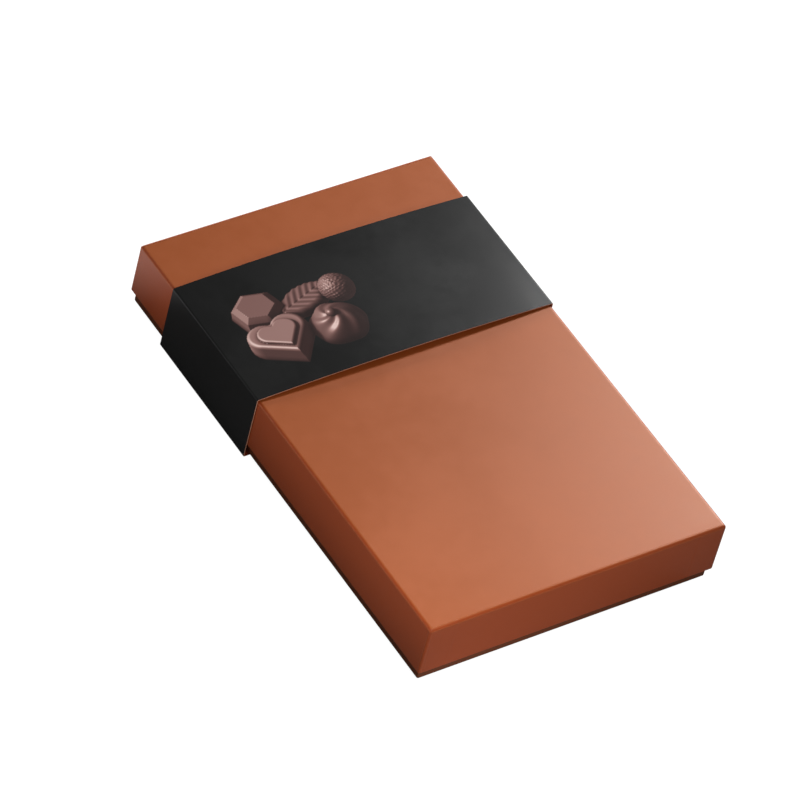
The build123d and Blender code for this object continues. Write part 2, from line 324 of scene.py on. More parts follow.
def satinCard(look):
    # Black laminated card. The print takes its ink from the mesh's own colour layer.
    material, tree, shader, place = newMaterial("printedCard", Specular_IOR_Level=look["specular"])
    fibre, tone = fibreAndTone(tree, place, look, stretch=5.0, fineShare=0.3)
    rubs = useGroup(tree, scuffGroup, Vector=place, Scale=look["scuffScale"])["Mask"]
    worn = rubbedEdges(tree, place, "sleeve", look, breakup=0.6)["Mask"]
    colour = mixColour(tree, tone, look["black"], look["greyer"])
    ink = addNode(tree, "ShaderNodeVertexColor", layer_name="ink")
    colour = mixColour(tree, ink.outputs["Alpha"], colour, ink.outputs["Color"])
    colour = mixColour(tree, times(tree, worn, look["wear"]), colour, look["worn"])
    feed(tree, shader, "Base Color", colour)
    satin = around(tree, tone, look["roughness"], look["spread"])
    satin = calc(tree, "ADD", satin, times(tree, rubs, look["rubbed"]))
    feed(tree, shader, "Roughness", satin)
    bumpFrom(tree, shader, times(tree, fibre["Height"], look["grain"]))
    return material


cardEdgeLook = dict(
    pale=(0.72, 0.37, 0.25), dark=(0.50, 0.24, 0.15), roughness=0.8, specular=0.2,
    plyScale=1500.0, plyStretch=(1.0, 1.0, 9.0), plyBand=(0.35, 0.65),
    fuzzScale=900.0, fuzzBand=(0.4, 0.9), fuzzTone=0.5, fuzz=0.05,
)


def layeredEdge(name, look):
    # The cut edge of the card: thin plies that run along the sheet, a little frayed.
    material, tree, shader, place = newMaterial(
        name, Roughness=look["roughness"], Specular_IOR_Level=look["specular"]
    )
    rough = noise(tree, place, look["fuzzScale"], 4.0, 0.7)
    along = vectorCalc(tree, "MULTIPLY", place, look["plyStretch"])
    plies = noise(tree, along, look["plyScale"], 3.0, 0.6)
    colour = mixColour(tree, ramp(tree, plies, *look["plyBand"]), look["pale"], look["dark"])
    frayed = ramp(tree, rough, *look["fuzzBand"], 0.0, look["fuzzTone"])
    colour = mixColour(tree, frayed, colour, look["pale"])
    feed(tree, shader, "Base Color", colour)
    bumpFrom(tree, shader, times(tree, rough, look["fuzz"]))
    return material


printedCard = satinCard(cardLook)
cardEdge = layeredEdge("cardEdge", cardEdgeLook)


boardLook = dict(
    deep=(0.185, 0.170, 0.145), light=(0.270, 0.250, 0.215),
    flecks=((1500.0, (0.06, 0.055, 0.05)), (2100.0, (0.45, 0.43, 0.39))),  # scale, colour
    fleckBand=(0.66, 0.72), fleck=0.7, roughness=0.9, specular=0.2,
    fibreScale=650.0, mottleScale=60.0, cloud=0.4, grain=0.05,
)


def recycledBoard(look):
    # Greyboard: mixed fibres, dark and pale flecks, and a soft felt surface.
    material, tree, shader, place = newMaterial(
        "recycledBoard", Roughness=look["roughness"], Specular_IOR_Level=look["specular"]
    )
    fibre, tone = fibreAndTone(tree, place, look, stretch=5.0, fineShare=0.5)
    colour = mixColour(tree, tone, look["deep"], look["light"])
    for scale, fleck in look["flecks"]:
        spots = ramp(tree, noise(tree, place, scale, 2.0, 0.4), *look["fleckBand"])
        colour = mixColour(tree, times(tree, spots, look["fleck"]), colour, fleck)
    colour = mixColour(tree, times(tree, fibre["Tone"], look["cloud"]), colour, look["light"])
    feed(tree, shader, "Base Color", colour)
    bumpFrom(tree, shader, times(tree, fibre["Height"], look["grain"]))
    return material


greyboard = recycledBoard(boardLook)


def innerPaper(name, look, pattern=None):
    # Papers and cards inside the box. A pattern adds its own height and tone.
    material, tree, shader, place = newMaterial(
        name, Specular_IOR_Level=look["specular"], Metallic=look["metallic"]
    )
    if "through" in look:  # how much light the paper lets through, and how deep it goes
        shader.inputs["Subsurface Weight"].default_value = look["through"]
        shader.inputs["Subsurface Scale"].default_value = look["throughDepth"] * mm
    fibre, tone = fibreAndTone(tree, place, look, stretch=6.0, fineShare=0.4)
    colour = mixColour(tree, tone, look["deep"], look["light"])
    colour = mixColour(tree, times(tree, fibre["Tone"], look["cloud"]), colour, look["light"])
    height = times(tree, fibre["Height"], look["grain"])
    if pattern:
        relief, shade = pattern(tree, place)
        height = calc(tree, "ADD", height, relief)
        colour = mixColour(tree, times(tree, shade, look["patternTone"]), colour, look["light"])
    feed(tree, shader, "Base Color", colour)
    satin = around(tree, fibre["Height"], look["roughness"], look["spread"])
    feed(tree, shader, "Roughness", satin)
    bumpFrom(tree, shader, height)
    return material


embossLook = dict(pitch=3.2, band=(0.04, 0.4), height=0.18)


def diamondEmboss(tree, place):
    # Small pressed diamonds, as on glassine padding.
    x, y, z = separate(tree, place)
    rises = []
    for sign in ("ADD", "SUBTRACT"):
        along = times(tree, calc(tree, sign, x, y), 1.0 / (embossLook["pitch"] * mm))
        rises.append(calc(tree, "PINGPONG", along, 0.5))
    peak = ramp(tree, calc(tree, "MINIMUM", *rises), *embossLook["band"])
    return times(tree, peak, embossLook["height"]), peak


innerLook = dict(metallic=0.0, cloud=0.35, spread=0.05)
liningLook = dict(
    innerLook, deep=(0.0095, 0.0075, 0.006), light=(0.016, 0.013, 0.011),
    specular=0.25, roughness=0.6, fibreScale=800.0, mottleScale=30.0, grain=0.015,
)
dividerLook = dict(
    innerLook, deep=(0.010, 0.0066, 0.005), light=(0.018, 0.012, 0.009),
    specular=0.3, roughness=0.55, fibreScale=600.0, mottleScale=45.0, grain=0.02,
)
cupLook = dict(
    innerLook, deep=(0.050, 0.021, 0.011), light=(0.085, 0.038, 0.020),
    specular=0.45, roughness=0.38, fibreScale=1200.0, mottleScale=70.0, grain=0.010,
    through=0.15, throughDepth=0.4,
)
padLook = dict(
    innerLook, deep=(0.055, 0.027, 0.015), light=(0.10, 0.052, 0.030),
    specular=0.45, roughness=0.42, fibreScale=1000.0, mottleScale=40.0, grain=0.010,
    patternTone=0.35,
)
sleeveInsideLook = dict(
    innerLook, deep=(0.50, 0.070, 0.020), light=(0.58, 0.090, 0.027), metallic=0.3,
    specular=0.3, roughness=0.5, fibreScale=900.0, mottleScale=25.0, grain=0.010,
)
liningPaper = innerPaper("liningPaper", liningLook)
dividerCard = innerPaper("dividerCard", dividerLook)
cupPaper = innerPaper("cupPaper", cupLook)
padPaper = innerPaper("padPaper", padLook, diamondEmboss)
sleeveInside = innerPaper("sleeveInside", sleeveInsideLook)


chocolateLook = dict(
    specular=0.5, coat=0.12, coatRoughness=0.22,
    through=0.06, throughDepth=0.6, throughTint=(1.0, 0.45, 0.25), mottleScale=120.0,
    flowScale=210.0, flowStretch=(1.0, 1.0, 2.5), ripple=0.05,
    pitScale=420.0, pitBand=(0.05, 0.14), patchScale=160.0, patchBand=(0.58, 0.66), dent=0.09,
    bloomScale=75.0, bloomBand=(0.52, 0.78), bloomRoughness=0.16,
)


def chocolate(name, look):
    # Moulded chocolate: a soft gloss, faint flow marks, tiny air pits and a breath of bloom.
    material, tree, shader, place = newMaterial(
        name, Specular_IOR_Level=look["specular"], Subsurface_Weight=look["through"],
        Subsurface_Scale=look["throughDepth"] * mm, Subsurface_Radius=look["throughTint"],
        Coat_Weight=look["coat"], Coat_Roughness=look["coatRoughness"],
    )
    mottle = useGroup(tree, mottleGroup, Vector=place, Scale=look["mottleScale"], FineShare=0.4)
    along = vectorCalc(tree, "MULTIPLY", place, look["flowStretch"])
    flow = noise(tree, along, look["flowScale"], 3.0, 0.5, 1.6)
    pits = addNode(tree, "ShaderNodeTexVoronoi", {"Vector": place, "Scale": look["pitScale"]})
    pit = ramp(tree, pits.outputs["Distance"], *look["pitBand"], 1.0, 0.0)
    sparse = ramp(tree, noise(tree, place, look["patchScale"], 2.0), *look["patchBand"])
    bloom = ramp(tree, noise(tree, place, look["bloomScale"], 5.0, 0.7, 0.8), *look["bloomBand"])
    colour = mixColour(tree, mottle["Tone"], look["deep"], look["light"])
    colour = mixColour(tree, times(tree, bloom, look["bloom"]), colour, look["pale"])
    feed(tree, shader, "Base Color", colour)
    gloss = calc(tree, "ADD", look["roughness"], times(tree, bloom, look["bloomRoughness"]))
    feed(tree, shader, "Roughness", gloss)
    ripple = times(tree, flow, look["ripple"])
    dents = times(tree, times(tree, pit, sparse), look["dent"])
    bumpFrom(tree, shader, calc(tree, "SUBTRACT", ripple, dents))
    return material


milkLook = dict(
    chocolateLook, deep=(0.115, 0.042, 0.020), light=(0.155, 0.060, 0.030),
    pale=(0.30, 0.17, 0.11), bloom=0.16, roughness=0.30,
)
darkLook = dict(
    chocolateLook, deep=(0.034, 0.0125, 0.0075), light=(0.052, 0.020, 0.012),
    pale=(0.15, 0.09, 0.065), bloom=0.12, roughness=0.26,
)
milkChocolate = chocolate("milkChocolate", milkLook)
darkChocolate = chocolate("darkChocolate", darkLook)
print("stage: materials built")


def boxInMm(nodeName):
    return [np.array(corner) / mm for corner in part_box(nodeName)]


def signedVolume(points, faces):
    total = 0.0
    for face in faces:
        a = points[face[0]]
        for i in range(1, len(face) - 1):
            total += float(np.dot(a, np.cross(points[face[i]], points[face[i + 1]])))
    return total


def buildObject(name, points, faces, materials, slots=None, sharpAngle=32.0):
    # points are in millimetres; the faces of a closed shape are turned outwards as a whole.
    points = np.asarray(points, float) * mm
    if signedVolume(points, faces) < 0:
        faces = turnedRound(faces)
    mesh = bpy.data.meshes.new(name)
    mesh.from_pydata(points.tolist(), [], faces)
    for material in materials:
        mesh.materials.append(material)
    if slots is not None:
        mesh.polygons.foreach_set("material_index", np.asarray(slots, np.int32))
    mesh.polygons.foreach_set("use_smooth", np.ones(len(faces), bool))
    mesh.set_sharp_from_angle(angle=math.radians(sharpAngle))
    mesh.update()
    return putInScene(name, mesh)


def bridge(count, lower, upper):
    # Quads between two closed loops of as many points.
    following = [*range(1, count), 0]
    return [(lower + i, lower + j, upper + j, upper + i) for i, j in enumerate(following)]


def turnedRound(faces):
    return [tuple(reversed(face)) for face in faces]


def roundedLoop(halfX, halfY, radius, height, steps=6, support=0.3):
    # A rounded rectangle with a point just beyond each end of every corner arc.
    loop = []
    for quarter, (signX, signY) in enumerate(((1, 1), (-1, 1), (-1, -1), (1, -1))):
        middle = (signX * (halfX - radius), signY * (halfY - radius))
        start = quarter * math.pi / 2
        arc = [start + math.pi / 2 * step / steps for step in range(steps + 1)]
        ring = [(middle[0] + radius * math.cos(a), middle[1] + radius * math.sin(a)) for a in arc]
        before = (ring[0][0] + support * math.sin(start), ring[0][1] - support * math.cos(start))
        after = (ring[-1][0] - support * math.cos(start), ring[-1][1] - support * math.sin(start))
        loop += [before, *ring, after]
    return [(x, y, height) for x, y in loop]


# Covering papers, in millimetres: they wrap a board tray and turn in over its rim by turnIn.
lidPaperLook = dict(
    edge=1.3, corner=1.0, paper=0.15, wall=1.4, rim=0.35, turnIn=16.0, arcSteps=6, rimSteps=4,
    edgeSupport=0.4, rimSupport=0.3, leastCorner=0.1,
)
basePaperLook = dict(lidPaperLook, turnIn=25.0)


def arcPoints(inset, depth, radius, start, end, steps):
    turns = [math.radians(start + (end - start) * step / steps) for step in range(steps + 1)]
    return [(inset + radius * math.cos(a), depth + radius * math.sin(a)) for a in turns]


def wrappedTray(name, nodeName, look, material, openUp):
    # The paper's section, as inset from the outside and depth from the closed face, swept round.
    low, high = boxInMm(nodeName)
    deep = high[2] - low[2]
    edge, paper, wall, rim = look["edge"], look["paper"], look["wall"], look["rim"]
    steps, rimSteps = look["arcSteps"], look["rimSteps"]
    beyondEdge, beforeRim = edge + look["edgeSupport"], deep - rim - look["rimSupport"]
    section = [(beyondEdge, 0.0)]
    section += arcPoints(edge, edge, edge, -90, -180, steps)
    section += [(0.0, beyondEdge), (0.0, beforeRim)]
    section += arcPoints(rim, deep - rim, rim, 180, 90, rimSteps)
    section += arcPoints(wall - rim, deep - rim, rim, 90, 0, rimSteps)
    section += [(wall, beforeRim), (wall, deep - look["turnIn"])]
    section += [(wall - paper, deep - look["turnIn"]), (wall - paper, deep - paper)]
    section += [(paper, deep - paper), (paper, beyondEdge)]
    section += arcPoints(edge, edge, edge - paper, 180, 270, steps)
    section += [(beyondEdge, paper)]
    points = []
    for inset, depth in section:
        height = low[2] + depth if openUp else high[2] - depth
        radius = max(look["corner"] - inset, look["leastCorner"])
        points += roundedLoop(high[0] - inset, high[1] - inset, radius, height)
    count = len(points) // len(section)
    faces = [tuple(reversed(range(count)))]
    for ring in range(len(section) - 1):
        faces += bridge(count, ring * count, (ring + 1) * count)
    faces.append(tuple(range(len(points) - count, len(points))))
    return buildObject(name, points, faces, [material])


lidPaper = wrappedTray("lidPaper", "lid_wrap", lidPaperLook, copperPaper, False)
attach(lidPaper, "lid")
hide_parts("lid_wrap")
basePaper = wrappedTray("basePaper", "base_wrap", basePaperLook, blackPaper, True)
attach(basePaper, "base")
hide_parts("base_wrap")
print("stage: covering papers made")


# The print on the sleeve, a plain still life of moulded chocolates, is worked out by formula.
inkLook = dict(
    middle=(-33.0, 50.0), reach=(33.6, 24.6), step=0.3,
    tilt=52.0, start=60.0, marches=120, stride=0.62, longestMove=4.0, touch=0.12,
    light=(-0.62, 0.10, 0.78), falloff=1.3, shines=((0.55, 22), (0.45, 90)),  # share, tightness
    hollowReaches=(1.0, 2.2, 4.0), hollow=0.28, shadeReaches=(1.5, 3.0, 5.0, 8.0), shade=0.35,
    arrived=0.02, below=-0.5, ground=-0.4, blur=0.9, slack=0.01,
    hollowFrom=(0.35, 7.0), hollowShare=0.75, darkest=0.25,
    ambient=0.15, lit=0.66, shine=0.50, rim=0.12,
    tones=(  # value, red, green, blue
        (0.0, 26, 17, 16), (0.20, 58, 38, 36), (0.42, 98, 68, 64), (0.64, 142, 105, 99),
        (0.84, 196, 158, 150), (1.0, 238, 208, 200),
    ),
)


def slab(outline, z, height, soft):
    # The distance to an upright form of this outline and height, with softened edges.
    side = outline + soft
    lift = np.abs(z - height / 2) - height / 2 + soft
    outside = np.hypot(np.maximum(side, 0), np.maximum(lift, 0))
    return np.minimum(np.maximum(side, lift), 0) + outside - soft


def heartDistance(x, y, size):
    # Two round lobes over a corner, for a heart of unit height set on its middle.
    x, y = np.abs(x) / size, y / size + 0.55
    far = np.hypot(x - 0.25, y - 0.75) - math.sqrt(2) / 4
    along = 0.5 * np.maximum(x + y, 0)
    near = np.minimum(np.hypot(x, y - 1), np.hypot(x - along, y - along)) * np.sign(x - y)
    return np.where(x + y > 1, far, near) * size


def polygonDistance(x, y, sides, radius):
    # Near enough for a slab.
    turn = 2 * math.pi / sides
    angle = np.mod(np.arctan2(y, x) + turn / 2, turn) - turn / 2
    return np.hypot(x, y) * np.cos(angle) - radius


def turned(x, y, place):
    c, s = math.cos(math.radians(place[2])), math.sin(math.radians(place[2]))
    return (x - place[0]) * c + (y - place[1]) * s, (y - place[1]) * c - (x - place[0]) * s


# The printed sweets, in millimetres. Each form gives the distance to one that stands on z = 0.
heartPrint = dict(size=26.5, taper=0.12, height=11.5, soft=1.8)
heartTopPrint = dict(size=16.5, shift=0.3, height=13.4, soft=1.2)
swirlPrint = dict(radius=13.2, squash=1.05, arms=5, wind=0.62, depth=0.45, flatWithin=6)
pearlPrint = dict(height=12.5, radius=2.7)
gemPrint = dict(
    sides=6, radius=12.2, taper=0.22, height=11.0, soft=0.8, cutHeight=6.2, cut=(0.72, 0.69)
)
leafPrint = dict(
    halfWidth=8.3, narrowing=15.0, least=0.02, power=0.75, slope=0.8, halfLength=14.6,
    height=7.5, soft=2.4, veins=0.45, lean=0.9, pitch=1.55, rib=0.7, ribWidth=0.8,
    veinsAbove=3.5, relief=0.35,
)
trufflePrint = dict(height=8.0, radius=8.2, grain=0.22, waves=(2.3, 1.9, 2.6, 2.1))


def heartSweet(x, y, z):
    look, top = heartPrint, heartTopPrint
    outline = heartDistance(x, y, look["size"]) + look["taper"] * z
    raised = slab(heartDistance(x, y - top["shift"], top["size"]), z, top["height"], top["soft"])
    return np.minimum(slab(outline, z, look["height"], look["soft"]), raised)


def swirlSweet(x, y, z):
    look, across = swirlPrint, np.hypot(x, y)
    reach = np.sqrt(x * x + y * y + (z * look["squash"]) ** 2)
    spin = np.sin(np.arctan2(y, x) * look["arms"] + across * look["wind"])
    grown = np.clip(across / look["flatWithin"], 0, 1)
    ball = reach - look["radius"] - look["depth"] * spin * grown
    pearl = np.sqrt(x * x + y * y + (z - pearlPrint["height"]) ** 2) - pearlPrint["radius"]
    return np.minimum(np.maximum(ball, -z), pearl)


def gemSweet(x, y, z):
    look = gemPrint
    side = polygonDistance(x, y, look["sides"], look["radius"])
    shell = slab(side + look["taper"] * z, z, look["height"], look["soft"])
    cut = side * look["cut"][0] + (z - look["cutHeight"]) * look["cut"][1]
    return np.maximum(shell, cut)


def leafSweet(x, y, z):
    look, off = leafPrint, np.abs(y)
    narrow = np.clip(1 - (x / look["narrowing"]) ** 2, look["least"], 1) ** look["power"]
    outline = (off - look["halfWidth"] * narrow) * look["slope"]
    vein = look["veins"] * np.cos((off * look["lean"] - x) * look["pitch"])
    vein = vein + look["rib"] * np.clip(1 - off / look["ribWidth"], 0, 1)
    whole = np.maximum(outline, np.abs(x) - look["halfLength"])
    body = slab(whole, z, look["height"], look["soft"])
    return body + np.where(z > look["veinsAbove"], look["relief"] * vein, 0.0)


def truffleSweet(x, y, z):
    look = trufflePrint
    a, b, c, d = look["waves"]
    grainy = look["grain"] * np.sin(x * a + np.sin(y * b)) * np.sin(y * c + z) * np.sin(z * d + x)
    return np.sqrt(x * x + y * y + (z - look["height"]) ** 2) - look["radius"] - grainy


farOff = 1e3
sweets = (
    # form, (x, y, turn), tint
    (heartSweet, (-13.5, -13.0, 12.0), 1.10),
    (swirlSweet, (13.0, -9.5, 20.0), 0.84),
    (gemSweet, (-15.5, 12.0, 14.0), 0.94),
    (leafSweet, (6.5, 10.5, 24.0), 0.82),
    (truffleSweet, (23.0, 9.0, 0.0), 0.90),
)


def sweetField(x, y, z):
    best, which = np.full(x.shape, farOff), np.zeros(x.shape, int)
    for index, (form, place, tint) in enumerate(sweets):
        localX, localY = turned(x, y, place)
        gap = form(localX, localY, z)
        closer = gap < best
        best[closer], which[closer] = gap[closer], index
    return best, which


def nearest(point, direction, reach):
    # The distance to the nearest sweet from the place that lies this far off the point.
    return sweetField(*(place + way * reach for place, way in zip(point, direction)))[0]


def paintInk(across, up, look):
    # Looks along slanted parallel rays at the sweets and shades what they meet.
    tilt = math.radians(look["tilt"])
    forward = np.array((0.0, math.cos(tilt), -math.sin(tilt)))
    x = across.copy()
    y = up / math.sin(tilt) - look["start"] * forward[1] * np.ones_like(up)
    z = -look["start"] * forward[2] * np.ones_like(up)
    closest = np.full(x.shape, farOff)
    for march in range(look["marches"]):
        gap, which = sweetField(x, y, z)
        closest = np.minimum(closest, gap)
        move = np.clip(gap, 0, look["longestMove"]) * look["stride"]
        move = np.where((gap > look["arrived"]) & (z >= look["below"]), move, 0.0)
        x, y, z = x + move * forward[0], y + move * forward[1], z + move * forward[2]
    gap, which = sweetField(x, y, z)
    point = (x, y, z)
    hit = (gap < look["touch"]) & (z > look["ground"])
    small = look["touch"]
    normal = np.stack([
        nearest(point, axis, small) - nearest(point, axis, -small) for axis in np.eye(3)
    ])
    normal /= np.linalg.norm(normal, axis=0) + 1e-9
    light = np.array(look["light"])
    light /= np.linalg.norm(light)
    lit = np.clip(np.tensordot(light, normal, 1), 0, 1) ** look["falloff"]
    half = light - forward
    half /= np.linalg.norm(half)
    facing = np.clip(np.tensordot(half, normal, 1), 0, 1)
    shine = sum(share * facing ** tightness for share, tightness in look["shines"])
    rim = np.clip(1 + np.tensordot(forward, normal, 1), 0, 1) ** 3
    hollow = np.ones_like(x)
    for reach in look["hollowReaches"]:
        hollow -= look["hollow"] * np.clip(1 - nearest(point, normal, reach) / reach, 0, 1)
    least, whole = look["hollowFrom"]
    hollow = np.clip(hollow * np.clip(least + z / whole, 0, 1), 0, 1)
    shade = np.ones_like(x)
    for reach in look["shadeReaches"]:
        probe = look["shade"] + nearest(point, light, reach) / (look["shade"] * reach)
        shade = np.minimum(shade, np.clip(probe, look["darkest"], 1))
    tints = np.array([tint for form, place, tint in sweets])[which]
    share = look["hollowShare"]
    value = tints * (look["ambient"] + look["lit"] * lit * shade) * (1 - share + share * hollow)
    value = value + look["shine"] * shine * shade + look["rim"] * rim
    tones = np.array(look["tones"], float)
    channels = [np.interp(value, tones[:, 0], tones[:, channel]) for channel in (1, 2, 3)]
    colour = np.stack(channels, -1)  # sRGB levels, which the next line makes linear
    colour = np.where(colour <= 10.3, colour / 255 / 12.92, ((colour / 255 + 0.055) / 1.055) ** 2.4)
    cover = np.where(hit, 1.0, np.clip(1 - closest / (look["step"] * look["blur"]), 0, 1))
    for place, reach in ((across, look["reach"][0]), (up, look["reach"][1])):
        cover *= np.clip((reach - np.abs(place)) / look["step"], 0, 1)
    return colour, cover


# The card sleeve, in millimetres: its top is crowned, and its flap is glued under the box.
sleeveLook = dict(
    card=0.4, crease=0.7, crown=2.0, frontCrown=1.75, seam=20.0, flap=15.0, joggle=2.0,
    flapEase=0.1, seamLap=0.02, joggleEnd=0.5, support=0.3, arcSteps=5, coarse=6.0,
)


def spread(start, end, step):
    count = max(1, round(abs(end - start) / step))
    return [start + (end - start) * i / count for i in range(count)]


def sleeveSection(half, shoulder, look):
    # Pairs of outer and inner points round the tube, each with its share of the crown.
    card, crease, seam, support = look["card"], look["crease"], look["seam"], look["support"]
    flap, joggle, coarse = look["flap"], look["joggle"], look["coarse"]
    ease = look["flapEase"]
    inner = crease - card
    pairs = []

    def addFold(x, z, start):
        for step in range(look["arcSteps"] + 1):
            a = math.radians(start + 90 * step / look["arcSteps"])
            c, s = math.cos(a), math.sin(a)
            pairs.append(((x + crease * c, z + crease * s), (x + inner * c, z + inner * s), 0.0))

    near = half - crease
    rise = look["crown"] * (1 - (near / half) ** 2)
    end = near - support
    for x in spread(-end, seam - flap, coarse):
        pairs.append(((x, 0.0), (x, card), 0.0))
    pairs.append(((seam - flap, 0.0), (seam - flap, card), 0.0))
    pairs.append(((seam - flap + ease, 0.0), (seam - flap, 2 * card), 0.0))
    pairs.append(((seam, 0.0), (seam - ease, 2 * card), 0.0))
    pairs.append(((seam, card - look["seamLap"]), (seam, 2 * card), 0.0))
    for x in [seam + joggle, *spread(seam + joggle + look["joggleEnd"], end, coarse), end]:
        pairs.append(((x, 0.0), (x, card), 0.0))
    addFold(near, crease, -90)
    sideHeights = (crease + support, shoulder / 2, shoulder - crease - support)
    for z in sideHeights:
        pairs.append(((half, z), (half - card, z), 0.0))
    addFold(near, shoulder + rise - crease, 0)
    low = inkLook["middle"][0] - inkLook["reach"][0]
    high = inkLook["middle"][0] + inkLook["reach"][0]
    across = spread(end, high, coarse) + spread(high, low, inkLook["step"])
    across += [*spread(low, -end, coarse), -end]
    for x in across:
        pairs.append(((x, shoulder), (x, shoulder - card), 1 - (x / half) ** 2))
    addFold(-near, shoulder + rise - crease, 90)
    for z in reversed(sideHeights):
        pairs.append(((-half, z), (card - half, z), 0.0))
    addFold(-near, crease, 180)
    return pairs


def makeSleeve(look):
    low, high = boxInMm("sleeve")
    half, shoulder = high[0], high[2] - look["crown"]
    pairs = sleeveSection(half, shoulder, look)
    inkLow = inkLook["middle"][1] - inkLook["reach"][1]
    inkHigh = inkLook["middle"][1] + inkLook["reach"][1]
    rows = spread(low[1], inkLow, look["coarse"]) + spread(inkLow, inkHigh, inkLook["step"])
    rows += [*spread(inkHigh, high[1], look["coarse"]), high[1]]
    flat = np.array([[outer, inner] for outer, inner, share in pairs])
    shares = np.array([share for outer, inner, share in pairs])
    sheets = []
    for y in rows:
        back = (y - low[1]) / (high[1] - low[1])
        crown = look["frontCrown"] + (look["crown"] - look["frontCrown"]) * back
        sheet = np.zeros((2, len(pairs), 3))
        sheet[:, :, 0] = flat[:, :, 0].T
        sheet[:, :, 1] = y
        sheet[:, :, 2] = flat[:, :, 1].T + shares * crown
        sheets.append(sheet)
    block = np.array(sheets)
    count, last = len(pairs), len(rows) - 1
    points = block.reshape(-1, 3)
    faces, slots = [], []
    for row in range(last):
        here, there = row * 2 * count, (row + 1) * 2 * count
        faces += bridge(count, here, there)
        faces += turnedRound(bridge(count, here + count, there + count))
        slots += [0] * count + [1] * count
    for row in (0, last):
        ends = bridge(count, row * 2 * count, row * 2 * count + count)
        faces += turnedRound(ends) if row == 0 else ends
        slots += [2] * count
    made = buildObject("cardSleeve", points, faces, [printedCard, sleeveInside, cardEdge], slots)
    outer = np.zeros(len(points), bool)
    outer.reshape(len(rows), 2, count)[:, 0, :] = shares > 0
    slack = inkLook["slack"]
    off = np.abs(points[:, 0] - inkLook["middle"][0])
    inside = outer & (off <= inkLook["reach"][0] + slack)
    inside &= (points[:, 1] >= inkLow - slack) & (points[:, 1] <= inkHigh + slack)
    across, up = (points[inside, axis] - inkLook["middle"][axis] for axis in (0, 1))
    colour, cover = paintInk(across, up, inkLook)
    ink = np.zeros((len(points), 4), np.float32)
    ink[inside, :3], ink[inside, 3] = colour, cover
    layer = made.data.color_attributes.new("ink", "FLOAT_COLOR", "POINT")
    layer.data.foreach_set("color", ink.ravel())
    return made


cardSleeve = makeSleeve(sleeveLook)
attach(cardSleeve, "sleeve")
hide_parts("sleeve")
print("stage: sleeve made,", len(cardSleeve.data.polygons), "faces")


def placingTree():
    # Sets copies of one form in those cells whose column and row give the wanted kind.
    tree = bpy.data.node_groups.new("placeInCells", "GeometryNodeTree")
    kinds = dict(
        Form="Object", Columns="Int", Rows="Int", PitchX="Float", PitchY="Float", Kind="Int",
        Kinds="Int", Turn="Float", Seed="Int", Material="Material",
    )
    for label, kind in kinds.items():
        tree.interface.new_socket(label, in_out="INPUT", socket_type="NodeSocket" + kind)
    tree.interface.new_socket("Geometry", in_out="OUTPUT", socket_type="NodeSocketGeometry")
    given = addNode(tree, "NodeGroupInput").outputs
    place = separate(tree, addNode(tree, "GeometryNodeInputPosition").outputs[0])
    sizes, numbers = [], []
    for axis, (count, pitch) in enumerate((("Columns", "PitchX"), ("Rows", "PitchY"))):
        last = calc(tree, "SUBTRACT", given[count], 1.0)
        sizes.append(times(tree, last, given[pitch]))
        steps = calc(tree, "DIVIDE", place[axis], given[pitch])
        fromEnd = calc(tree, "ADD", steps, times(tree, last, 0.5))
        numbers.append(calc(tree, "ROUND", fromEnd))
    grid = addNode(tree, "GeometryNodeMeshGrid", {
        "Size X": sizes[0], "Size Y": sizes[1],
        "Vertices X": given["Columns"], "Vertices Y": given["Rows"],
    })
    # Twice the column and the row, counted round the kinds, give a cell's kind.
    number = calc(tree, "ADD", times(tree, numbers[0], 2.0), numbers[1])
    wanted = calc(tree, "COMPARE", calc(tree, "MODULO", number, given["Kinds"]), given["Kind"], 0.1)
    back = times(tree, given["Turn"], -1.0)
    turn = addNode(tree, "FunctionNodeRandomValue", {2: back, 3: given["Turn"], 8: given["Seed"]})
    form = addNode(tree, "GeometryNodeObjectInfo", {"Object": given["Form"]}).outputs["Geometry"]
    copies = addNode(tree, "GeometryNodeInstanceOnPoints", {
        "Points": grid.outputs[0], "Selection": wanted, "Instance": form,
        "Rotation": addNode(tree, "ShaderNodeCombineXYZ", {2: turn.outputs[1]}).outputs[0],
    })
    real = addNode(tree, "GeometryNodeRealizeInstances", {0: copies.outputs[0]})
    feeds = {"Geometry": real.outputs[0], "Material": given["Material"]}
    dressed = addNode(tree, "GeometryNodeSetMaterial", feeds)
    addNode(tree, "NodeGroupOutput", {0: dressed.outputs[0]})
    return tree


cellLook = dict(Columns=4, Rows=6, PitchX=35.95 * mm, PitchY=38.133 * mm, Kind=0, Kinds=1)
cellTree = placingTree()


def fillCells(name, form, material, nodes, slotName, **changes):
    values = dict(cellLook, Form=form, Material=material, **changes)
    holder = putInScene("holder", bpy.data.meshes.new("holder"))
    modifier = holder.modifiers.new("cells", "NODES")
    modifier.node_group = cellTree
    for item in cellTree.interface.items_tree:
        if item.in_out == "INPUT":
            modifier[item.identifier] = values[item.name]
    graph = bpy.context.evaluated_depsgraph_get()
    mesh = bpy.data.meshes.new_from_object(holder.evaluated_get(graph))
    mesh.name = name
    holder.modifiers.remove(modifier)
    bpy.data.objects.remove(holder)
    bpy.data.objects.remove(form)
    made = putInScene(name, mesh)
    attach(made, "base")
    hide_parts(*nodes)
    print("stage:", name, "made,", len(mesh.polygons), "faces")


